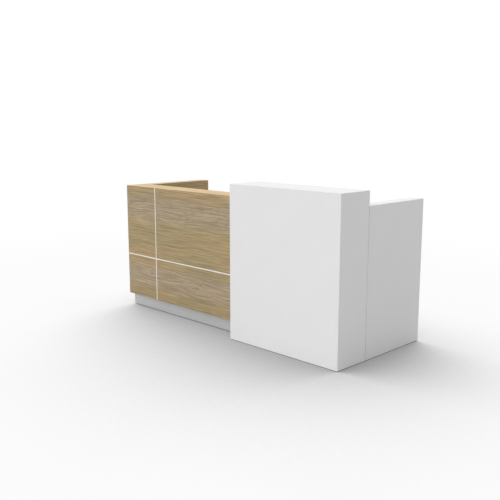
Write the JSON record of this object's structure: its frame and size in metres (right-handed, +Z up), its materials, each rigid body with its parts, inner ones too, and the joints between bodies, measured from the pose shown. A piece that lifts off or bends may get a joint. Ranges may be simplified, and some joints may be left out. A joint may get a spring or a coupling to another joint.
{
  "type": "reception desk",
  "caption": "Free-standing reception desk: timber counter with white inlays, raised white tower, boxed gables, and a staff-side worktop with drawers and open shelving.",
  "frame": {"origin": "on the floor, at the middle of the desk's plan", "axes": "+X along the front to the visitor's right, +Y from the visitor's side to the staff side, +Z up"},
  "size_m": [2.3996, 0.9496, 1.1499],
  "materials": {
    "oak": "light oak veneer, horizontal grain, matt lacquer",
    "white_board": "white melamine-faced board, satin",
    "raw_board": "raw particle board, hidden inside",
    "inlay": "white strip, satin",
    "plinth": "brushed silver kickboard",
    "steel": "zinc-plated steel",
    "drawer_box": "light grey foil-wrapped board",
    "black_plastic": "matt black moulding",
    "nickel": "nickel-plated"
  },
  "bodies": {
    "desk": {"front_panel_upper_left": "oak", "front_panel_upper_right": "oak", "front_panel_lower_left": "oak", "front_panel_lower_right": "oak", "inlay_strip_upright": "inlay", "inlay_strip_left": "inlay", "inlay_strip_right": "inlay", "counter_top": "oak", "counter_end_panel": "oak", "counter_rear_panel": "oak", "counter_backing_board": "raw_board", "counter_rib": "raw_board", "counter_base": "raw_board", "plinth_front": "plinth", "plinth_side": "plinth", "left_gable_outer": "oak", "left_gable_inner": "oak", "left_gable_top": "oak", "left_gable_edge": "oak", "left_gable_base": "raw_board", "right_gable_outer": "white_board", "right_gable_inner": "white_board", "right_gable_top": "white_board", "right_gable_edge": "white_board", "right_gable_base": "raw_board", "tower_front": "white_board", "tower_left_side": "white_board", "tower_right_side": "white_board", "tower_top": "white_board", "tower_rear_panel": "white_board", "tower_deck": "white_board", "tower_divider": "white_board", "tower_shelf": "white_board", "tower_base": "white_board", "worktop": "white_board", "worktop_cleat_left": "white_board", "worktop_cleat_front": "white_board", "worktop_angle": "steel", "grommet_sleeve": "black_plastic", "drawer_unit_side": "white_board", "drawer_unit_base": "white_board", "upper_runner_left": "steel", "upper_runner_right": "steel", "lower_runner_left": "steel", "lower_runner_right": "steel"},
    "upper_drawer": {"upper_drawer_front": "white_board", "upper_drawer_box": "drawer_box"},
    "lower_drawer": {"lower_drawer_front": "white_board", "lower_drawer_box": "drawer_box"},
    "lock": {"drawer_lock": "nickel"},
    "cable_cap": {"grommet_cap": "black_plastic"},
    "leg_left": {"plinth_leg_left": "black_plastic"},
    "leg_right": {"plinth_leg_right": "black_plastic"},
    "leg_rear": {"plinth_leg_rear": "black_plastic"},
    "foot_front_left": {"tower_foot_front_left": "black_plastic"},
    "foot_front_right": {"tower_foot_front_right": "black_plastic"},
    "foot_rear_left": {"tower_foot_rear_left": "black_plastic"},
    "foot_rear_right": {"tower_foot_rear_right": "black_plastic"},
    "foot_gable": {"right_gable_foot": "black_plastic"},
    "foot_drawers": {"drawer_unit_foot": "black_plastic"}
  },
  "joints": [
    {"name": "upper_drawer_slide", "type": "slide", "parent": "desk", "child": "upper_drawer", "axis": [0, 1, 0], "range_m": [0, 0.36]},
    {"name": "lower_drawer_slide", "type": "slide", "parent": "desk", "child": "lower_drawer", "axis": [0, 1, 0], "range_m": [0, 0.36]},
    {"name": "lock_turn", "type": "hinge", "parent": "upper_drawer", "child": "lock", "pos_m": [1.053, 0.44, 0.655], "axis": [0, 1, 0], "range_deg": [0, 90]},
    {"name": "cable_cap_turn", "type": "hinge", "parent": "desk", "child": "cable_cap", "pos_m": [-0.64, -0.095, 0.738], "axis": [0, 0, 1], "continuous": true},
    {"name": "leg_left_level", "type": "slide", "parent": "desk", "child": "leg_left", "axis": [0, 0, -1], "range_m": [0, 0.015]},
    {"name": "leg_right_level", "type": "slide", "parent": "desk", "child": "leg_right", "axis": [0, 0, -1], "range_m": [0, 0.015]},
    {"name": "leg_rear_level", "type": "slide", "parent": "desk", "child": "leg_rear", "axis": [0, 0, -1], "range_m": [0, 0.015]},
    {"name": "foot_front_left_level", "type": "slide", "parent": "desk", "child": "foot_front_left", "axis": [0, 0, -1], "range_m": [0, 0.015]},
    {"name": "foot_front_right_level", "type": "slide", "parent": "desk", "child": "foot_front_right", "axis": [0, 0, -1], "range_m": [0, 0.015]},
    {"name": "foot_rear_left_level", "type": "slide", "parent": "desk", "child": "foot_rear_left", "axis": [0, 0, -1], "range_m": [0, 0.015]},
    {"name": "foot_rear_right_level", "type": "slide", "parent": "desk", "child": "foot_rear_right", "axis": [0, 0, -1], "range_m": [0, 0.015]},
    {"name": "foot_gable_level", "type": "slide", "parent": "desk", "child": "foot_gable", "axis": [0, 0, -1], "range_m": [0, 0.015]},
    {"name": "foot_drawers_level", "type": "slide", "parent": "desk", "child": "foot_drawers", "axis": [0, 0, -1], "range_m": [0, 0.015]}
  ]
}
